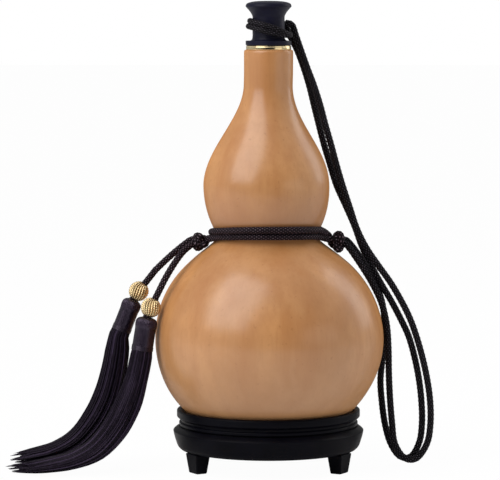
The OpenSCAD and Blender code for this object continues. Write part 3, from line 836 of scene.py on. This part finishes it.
def build_bead(name, node, body):
    """A round metal bead with fine notched ribs from pole to pole and a rolled lip round its hole."""
    low, high = box_mm(node)
    route = CORD_LEFT if node.endswith("left") else CORD_RIGHT
    direction = unit(np.array(route[-2]) - np.array(route[-1]))
    pole = asin(BEAD_HOLE / BEAD_R)
    around = BEAD_RIBS * RIB_COLUMNS
    a = np.linspace(pole, pi - pole, BEAD_RINGS)[:, None]
    t = np.linspace(0, 2 * pi, around, endpoint=False)[None, :]
    ribs = (t + RIB_TWIST * np.cos(a)) * BEAD_RIBS / 2
    notch = 0.5 + 0.5 * np.cos(a * NOTCHES + NOTCH_SHIFT * np.floor(ribs / pi))
    height = np.abs(np.sin(ribs)) ** 1.1 * (1 - 0.5 * notch)
    r = BEAD_R - RIB_DEPTH * np.sin(a) ** 0.6 * (1 - height)
    ball = np.stack([r * np.sin(a) * np.cos(t), r * np.sin(a) * np.sin(t), r * np.cos(a) + 0 * t], 2)
    rows = [ball.reshape(-1, 3)]
    for end in (-1, 1):
        lip = (BEAD_HOLE - 0.12) * np.stack([np.cos(t[0]), np.sin(t[0])], 1)
        rows.append(np.column_stack([lip, np.full(around, end * BEAD_R * cos(pole) * 0.96)]))
    faces = [f[::-1] for f in grid_faces(BEAD_RINGS + 2, around, close_rows=True)]
    thing = new_mesh(name, along_axis(np.concatenate(rows), (low + high) / 2, direction), faces)
    # The rib height is kept as the shade, which the metal turns into painted shade, near black in the
    # grooves; the lips round the hole get a little of it
    shade_points(thing, np.concatenate([height.ravel(), np.full(2 * around, 0.4)]))
    finish_piece(thing, "gold", body, node)
    return thing


# A tassel's head, the part of it that is a folded cap, and the thread wound round its foot
TASSEL_R = 5.4
TASSEL_L = 18.0
CAP_H = 5.2
BINDING_W = 2.4
BINDING_TURNS = 6
BINDING_R = 0.24
HEAD_COLUMNS = 288
CAP_FOLDS = 22
BARREL_THREADS = 48


def head_top(route):
    """Top of a head, a little towards the bottle from the end of its cord."""
    return np.array(route[-1]) + np.array((0.8, 0, 0))


def build_head(name, node, route, lean, girth):
    """A tassel's head: a domed cap of folded threads that runs into a satin barrel."""
    reach = TASSEL_R * girth
    profile = [(0.9, -0.1), (1.9, -0.35), (2.5, -0.3)]
    for a in np.radians(np.linspace(26, 90, 10)):
        profile.append((reach - 2.9 * (1 - sin(a)), 3.0 * (1 - cos(a))))
    for z in np.linspace(3.2, TASSEL_L, 44):
        step = 0.5 + 0.5 * tanh((z - CAP_H) / 0.7)
        profile.append((reach * (1 - 0.05 * step + 0.02 * max(0, z - 9) / 9), z))
    profile.append((reach * 0.6, TASSEL_L))
    points, shades = [], []
    for r, z in profile:
        cap = min(1.0, max(0.0, z / 1.5)) * (0.5 - 0.5 * tanh((z - CAP_H) / 0.6))
        for k in range(HEAD_COLUMNS):
            t = 2 * pi * k / HEAD_COLUMNS
            fold = abs(sin(t * CAP_FOLDS + 0.5 * sin(z)))
            out = r + 0.22 * cap * (fold - 1)
            out += 0.045 * abs(sin(t * BARREL_THREADS + 0.4 * sin(z * 0.4)))
            out += 0.16 * noise.noise(Vector((cos(t) * 2.2, sin(t) * 2.2, z * 0.07)))
            points.append((out * cos(t), out * sin(t), z))
            # The shade is high on the crests of the cap's folds, where the satin material paints a
            # highlight
            shades.append(0.55 + 0.4 * cap * fold**3)
    faces = grid_faces(len(profile), HEAD_COLUMNS)
    thing = new_mesh(name, along_axis(points, head_top(route), lean), faces)
    shade_points(thing, shades)
    finish_piece(thing, "satin", "bottle", node)
    return thing


def build_binding(name, node, route, lean, girth):
    """Turns of thread wound round the foot of a head."""
    reach = TASSEL_R * girth * 0.97
    pitch = BINDING_W / BINDING_TURNS * 0.94
    points = []
    for turn in np.arange(BINDING_TURNS * 20 + 1) / 20:
        a = 2 * pi * turn
        points.append((reach * cos(a), reach * sin(a), pitch * turn + 0.2))
    at = head_top(route) + unit(lean) * (TASSEL_L - BINDING_W)
    path, _ = smooth_path(along_axis(points, at, lean), 0.6)
    round_it = 2 * pi * np.arange(8) / 8
    thing = new_mesh(name, sweep_points(path, BINDING_R, round_it), grid_faces(len(path), 8))
    finish_piece(thing, "satin", "bottle", node)


def build_tassel_cord(name, node, route, radius, pieces):
    """The cord from the left knot down to a head, straight where its bead slides."""
    start, bend, end = (np.array(route[k]) for k in (0, -2, -1))
    first = start + (knot_place(-1) - start) * 0.4
    straight = [tuple(bend + (end - bend) * share) for share in (0.06, 0.5)]
    points = [tuple(first)] + route[:-1] + straight + [route[-1]]
    thing, path, length = braided_cord(name, points, radius)
    dress(thing, "waist")
    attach(thing, "bottle")
    ends = {"exit": tuple(first * MM), "far_end": "fitting", "with_pieces": pieces}
    state_cord(thing, node, "waist_cord", path, length, radius, **ends)


# Locks that a skirt's threads gather in, points along each thread and round it, how far the tips run
# on over the outline's end, how much wider they fan out, and where both begin
LOCKS = 17
STATIONS = 32
THREAD_SIDES = 4
SKIRT_OVER = 2.0
SKIRT_FAN = 0.3
FAN_FROM = 0.6
GATHER_FROM = 0.84


def build_skirt(name, node, route, lean, girth, run, seed):
    """The loose threads of a tassel from its binding to the ground, gathered in locks at their tips."""
    rng = np.random.default_rng(seed)
    top = head_top(route) + unit(lean) * TASSEL_L
    reach = TASSEL_R * girth
    line = [top, top + 4 * unit(lean)]
    wide, tall = [reach * 0.97, reach * 1.04], [reach * 0.97, reach * 1.06]
    for (left, front, rise), width, height in run:
        line.append(top + np.array((-left, front, rise)))
        wide.append(width)
        tall.append(height)
    line.append(line[-1] + SKIRT_OVER * unit(line[-1] - line[-2]))
    wide.append(wide[-1])
    tall.append(tall[-1] * 0.9)
    middle, _ = smooth_path(line, 1.0)
    marks = lengths_along(line)
    share = np.linspace(0, marks[-1], len(middle))
    tangent = unit(np.gradient(middle, axis=0))
    up = unit(np.cross(ACROSS, tangent))
    across = np.cross(tangent, up)
    guide = np.column_stack([middle, np.interp(share, marks, wide), np.interp(share, marks, tall)])
    lock_angle = rng.uniform(0, 2 * pi, LOCKS)
    lock_reach = np.sqrt(rng.uniform(0.05, 1, LOCKS))
    lock_end = rng.uniform(0.88, 1.0, LOCKS)
    lock_u, lock_v = lock_reach * np.cos(lock_angle), lock_reach * np.sin(lock_angle)
    # Each thread narrows over its last four steps
    taper = np.minimum(1.0, np.arange(STATIONS - 1, -1, -1) / 4 * 0.85 + 0.15)[:, None]
    corners = 2 * pi * np.arange(THREAD_SIDES) / THREAD_SIDES
    sheath = grid_faces(STATIONS, THREAD_SIDES)
    points, faces, shades = [], [], []
    for _ in range(sizes().threads):
        reach = rng.uniform(0, 1) ** 0.36
        angle = rng.uniform(0, 2 * pi)
        u, v = reach * cos(angle), reach * sin(angle)
        lock = int(np.argmin((lock_u - u) ** 2 + (lock_v - v) ** 2))
        end = lock_end[lock] * rng.uniform(0.95, 1.0)
        phase, sway = rng.uniform(0, 6.28), rng.uniform(0.1, 0.55)
        radius = rng.uniform(0.3, 0.42)
        own = rng.uniform(0, 1)
        s = end * np.arange(STATIONS) / (STATIONS - 1)
        at = s * (len(guide) - 1)
        a = np.minimum(at.astype(int), len(guide) - 2)
        f = (at - a)[:, None]
        here = guide[a] * (1 - f) + guide[a + 1] * f
        gather = np.maximum(0, (s - GATHER_FROM) / (1 - GATHER_FROM)) ** 1.5 * 0.85
        fan = 1 + SKIRT_FAN * np.maximum(0, (s - FAN_FROM) / (1 - FAN_FROM))
        drift = sway * np.sin(5 * s + phase) * np.minimum(1, s * 3)
        x = here[:, 3] * fan * (u + (lock_u[lock] - u) * gather) * 0.96 + drift
        y = here[:, 4] * (v + (lock_v[lock] - v) * gather) * 0.94 + 0.4 * drift
        path = here[:, :3] + x[:, None] * across[a] + y[:, None] * up[a]
        path[:, 2] = np.maximum(path[:, 2], radius + 0.25)
        faces += [tuple(len(shades) + c for c in f) for f in sheath]
        points.append(sweep_points(path, radius * taper, corners + phase))
        shades += [own] * len(points[-1])
    thing = new_mesh(name, np.concatenate(points), faces)
    shade_points(thing, shades)
    finish_piece(thing, "thread", "bottle", node)


# The stand


# Radii of the stand's rim, band and opening, and of the groove between rim and band
RIM_R = 50.7
BAND_R = 52.7
OPEN_R = 28.0
BASE_R = 49.7

# Height of the groove under the rim's top, where the band is widest, and how far its foot is drawn in
GROOVE_DROP = 9.4
BAND_RISE = 0.81
FOOT_SOFT = 1.2

# The rings over the groove as steps in and up, then the cove under the rim, the rim's face and its edge
RING_STEPS = ((1.6, -0.4), (1.6, 0.5), (0.2, 0.9), (0.2, 2.4), (1.2, 2.9))
COVE_H = 1.5
RIM_FACE = 3.9
RIM_SOFT = 0.6
SEAT_LOW = 19.0


def stand_profile():
    """Outline of the stand from its opening, out under the band, up to the rim and down the seat."""
    groove = STAND_Z - GROOVE_DROP
    profile = [(OPEN_R, LEG_H + 2.2), (OPEN_R + 0.6, LEG_H + 0.8), (OPEN_R + 2.2, LEG_H)]
    middle = LEG_H + (groove - LEG_H) * BAND_RISE
    for u in np.linspace(-1, 1, 61):
        drawn_in = FOOT_SOFT * max(0.0, (-u - 0.7) / 0.3) ** 2.5
        reach = BAND_R - (BAND_R - BASE_R) * abs(u) ** 1.3 - drawn_in
        profile.append((reach, middle + u * (middle - LEG_H if u < 0 else groove - middle)))
    profile += [(BASE_R - s, groove + z) for s, z in RING_STEPS]
    for a in np.radians(np.linspace(0, 90, 12)):
        reach = RIM_R - RIM_SOFT - (RIM_R - BASE_R + RIM_SOFT) * cos(a)
        profile.append((reach, STAND_Z - RIM_FACE - RIM_SOFT - COVE_H * (1 - sin(a))))
    profile += [(RIM_R, STAND_Z - RIM_FACE), (RIM_R, STAND_Z - RIM_SOFT), (RIM_R - RIM_SOFT, STAND_Z)]
    profile += [(gourd_r(z, -0.3), z) for z in np.linspace(STAND_Z, SEAT_LOW, 30)]
    return profile + [(OPEN_R, SEAT_LOW - 0.6), profile[0]]


def build_stand():
    """The turned ring that the gourd sits in."""
    thing = revolve("stand_turned", rounded(stand_profile(), 0.3, 4), 192)
    finish_piece(thing, "stand", "stand", "stand_ring")


# A leg's width and thickness at its foot and at its top, how far its middle is from the axis, its rows
FOOT_SIZE = np.array((9.2, 6.4))
TOP_SIZE = np.array((12.4, 9.0))
LEG_REACH = 44.7
LEG_ROWS = 9


def build_leg(name, node, turn):
    """A leg that narrows towards its foot, with softened edges."""
    a = radians(turn)
    points = []
    for share in np.linspace(0, 1, LEG_ROWS):
        wide, thick = FOOT_SIZE + (TOP_SIZE - FOOT_SIZE) * share
        for x, y in ((-thick, -wide), (thick, -wide), (thick, wide), (-thick, wide)):
            x, y = LEG_REACH + x / 2, y / 2
            points.append((x * cos(a) - y * sin(a), x * sin(a) + y * cos(a), LEG_H * share))
    last = 4 * (LEG_ROWS - 1)
    faces = grid_faces(LEG_ROWS, 4) + [(3, 2, 1, 0), tuple(range(last, last + 4))]
    thing = new_mesh(name, points, faces)
    bevel = thing.modifiers.new("soft_edges", "BEVEL")
    bevel.width = 0.7 * MM
    bevel.segments = 3
    bevel.limit_method = "ANGLE"
    bevel.angle_limit = radians(40)
    bevel.harden_normals = True
    finish_piece(thing, "stand", "stand", node)


# The stage

# The camera's place in metres, level with the bottle's top, its downward tilt in degrees, its focal
# length in pixels, the picture's width in pixels and the sensor's in millimetres
CAMERA_PLACE = (-0.0102, -1.660, 0.264)
CAMERA_DROP = 4.74
FOCAL_PIXELS = 3018
FRAME_WIDTH = 500
SENSOR = 36.0


def put(name, data, place, turn):
    """Puts a camera or a light in the scene."""
    thing = bpy.data.objects.new(name, data)
    thing.location = place
    thing.rotation_euler = turn
    bpy.context.scene.collection.objects.link(thing)
    return thing


def build_camera():
    data = bpy.data.cameras.new("camera")
    data.sensor_fit = "HORIZONTAL"
    data.sensor_width = SENSOR
    data.lens = SENSOR * FOCAL_PIXELS / FRAME_WIDTH
    data.clip_start = 0.05
    data.clip_end = 50
    bpy.context.scene.camera = put("camera", data, CAMERA_PLACE, (radians(90 - CAMERA_DROP), 0, 0))


def area_light(name, place, aim, size, power, colour):
    data = bpy.data.lights.new(name, "AREA")
    data.shape = "RECTANGLE"
    data.size, data.size_y = size
    data.energy = power
    data.color = colour
    put(name, data, place, (Vector(aim) - Vector(place)).to_track_quat("-Z", "Y").to_euler())


def build_floor():
    """A pale floor, seen white by the camera."""
    side, near, far = 9000, -800, 9000
    points = [(-side, near, 0), (side, near, 0), (side, far, 0), (-side, far, 0)]
    thing = new_mesh("floor", points, [(0, 1, 2, 3)])
    made, node, paper, _ = new_material("floor_white_paper")
    join(paper, Base_Color=(0.8, 0.8, 0.8, 1), Roughness=0.9)
    seen = node("Math", node("LightPath").outputs["Is Camera Ray"], 0.97, settings=PRODUCT)
    both = node("MixShader", seen, paper, node("Emission", (1, 1, 1, 1), 1.0))
    join(made.node_tree.nodes["Material Output"], Surface=both)
    thing.data.materials.append(made)


# Each light's place, aim and size in metres, its power in watts and its colour
LIGHTS = {
    "key_left": ((-0.62, -0.58, 0.92), (0, 0, 0.14), (1.0, 1.35), 13.2, (1.0, 0.975, 0.975)),
    "card_right": ((0.8, -0.64, 0.25), (0, 0, 0.24), (0.7, 0.3), 0.52, (1.0, 0.96, 0.9)),
    "edge_right": ((0.96, 0.51, 0.65), (0, 0, 0.14), (0.5, 1.0), 3.6, (1.0, 0.98, 0.98)),
}


def build_light():
    """A large soft light on the left, a low card on the right, a strip behind it and a dim room."""
    world = bpy.data.worlds.new("studio")
    world.use_nodes = True
    node = partial(add, world.node_tree)
    # The room is darkest towards the camera, dimmer still in mirrored rays, and white where it is seen
    back = node("SeparateXYZ", node("TexCoord").outputs["Generated"]).outputs["Y"]
    room = node("MapRange", back, -0.97, -0.3, 0.04, 0.72)
    rays = node("LightPath").outputs
    dim = node("Math", room, node("Mix", rays["Is Glossy Ray"], 1.0, 0.55), settings=PRODUCT)
    white = node("Mix", rays["Is Camera Ray"], dim, 1.0)
    join(world.node_tree.nodes["Background"], (1, 1, 1, 1), white)
    bpy.context.scene.world = world
    for name, (place, aim, size, power, colour) in LIGHTS.items():
        area_light(name, place, aim, size, power, colour)
    bpy.context.scene.view_settings.view_transform = "Standard"


# Operators


class GOURD_OT_stage(bpy.types.Operator):
    """Sets up the camera, the lights and the floor"""

    bl_idname = "gourd.stage"
    bl_label = "Stage"

    def execute(self, context):
        build_camera()
        build_floor()
        build_light()
        return {"FINISHED"}


class GOURD_OT_cords(bpy.types.Operator):
    """Builds the strap, the noose, the waist cords and their knots"""

    bl_idname = "gourd.cords"
    bl_label = "Cords"

    def execute(self, context):
        radius = sizes().cord / MM / 2
        build_strap(radius)
        build_noose(radius * 0.9)
        build_waist(radius)
        build_knots(radius)
        return {"FINISHED"}


class GOURD_OT_tassels(bpy.types.Operator):
    """Builds the two tassels with their cords and beads"""

    bl_idname = "gourd.tassels"
    bl_label = "Tassels"

    def execute(self, context):
        radius = sizes().cord / MM / 2
        for side, route, lean, girth, run, seed in (
            ("left", CORD_LEFT, LEAN_LEFT, 1.0, SKIRT_LEFT, 3),
            ("right", CORD_RIGHT, LEAN_RIGHT, 1.1, SKIRT_RIGHT, 8),
        ):
            hang = (route, lean, girth)
            bead = build_bead("bead_ribbed_" + side, "bead_" + side, "bead_on_" + side + "_cord")
            head = build_head("tassel_top_" + side, "tassel_head_" + side, *hang)
            build_binding("tassel_thread_turns_" + side, "tassel_binding_" + side, *hang)
            build_skirt("tassel_threads_" + side, "tassel_skirt_" + side, *hang, run, seed)
            pieces = [bead, head]
            build_tassel_cord("tassel_cord_braid_" + side, "tassel_cord_" + side, route, radius, pieces)
        return {"FINISHED"}


class GOURD_OT_gourd(bpy.types.Operator):
    """Builds the gourd and the collar on its neck"""

    bl_idname = "gourd.gourd"
    bl_label = "Gourd"

    def execute(self, context):
        build_gourd()
        build_collar()
        return {"FINISHED"}


class GOURD_OT_stopper(bpy.types.Operator):
    """Builds the stopper's turned head and dresses what is under it"""

    bl_idname = "gourd.stopper"
    bl_label = "Stopper"

    def execute(self, context):
        build_stopper()
        for node, look in (
            ("inner_lining", "lining"), ("mouth_bushing", "bushing"), ("stopper_plug", "plug"),
            ("stopper_stud", "steel"), ("stopper_washer", "rubber"), ("stopper_seals", "rubber"),
            ("leg_dowels", "dowel"),
        ):
            dress(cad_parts[node], look)
        return {"FINISHED"}


class GOURD_OT_stand(bpy.types.Operator):
    """Builds the turned stand and its three legs"""

    bl_idname = "gourd.stand"
    bl_label = "Stand"

    def execute(self, context):
        build_stand()
        for side, turn in (("left", 210), ("right", 330), ("rear", 90)):
            build_leg("stand_foot_" + side, "stand_leg_" + side, turn)
        return {"FINISHED"}


# In the order that they run
OPERATORS = (
    GOURD_OT_stage, GOURD_OT_cords, GOURD_OT_tassels, GOURD_OT_gourd, GOURD_OT_stopper, GOURD_OT_stand,
)


class GOURD_PT_panel(bpy.types.Panel):
    """Lists the steps that build the bottle"""

    bl_label = "Gourd bottle"
    bl_idname = "GOURD_PT_panel"
    bl_space_type = "VIEW_3D"
    bl_region_type = "UI"
    bl_category = "Gourd bottle"

    def draw(self, context):
        for group in (context.scene.gourd_bottle_sizes, context.scene.gourd_bottle_colours):
            for name in group.__annotations__:
                self.layout.prop(group, name)
        for operator in OPERATORS:
            self.layout.operator(operator.bl_idname)


CLASSES = (GourdBottleColours, GourdBottleSizes) + OPERATORS + (GOURD_PT_panel,)


def register():
    for item in CLASSES:
        bpy.utils.register_class(item)
    bpy.types.Scene.gourd_bottle_sizes = PointerProperty(type=GourdBottleSizes)
    bpy.types.Scene.gourd_bottle_colours = PointerProperty(type=GourdBottleColours)


def unregister():
    del bpy.types.Scene.gourd_bottle_colours
    del bpy.types.Scene.gourd_bottle_sizes
    for item in reversed(CLASSES):
        bpy.utils.unregister_class(item)


def main():
    register()
    for operator in OPERATORS:
        getattr(bpy.ops.gourd, operator.bl_idname.split(".")[1])()


if __name__ == "__main__":
    main()
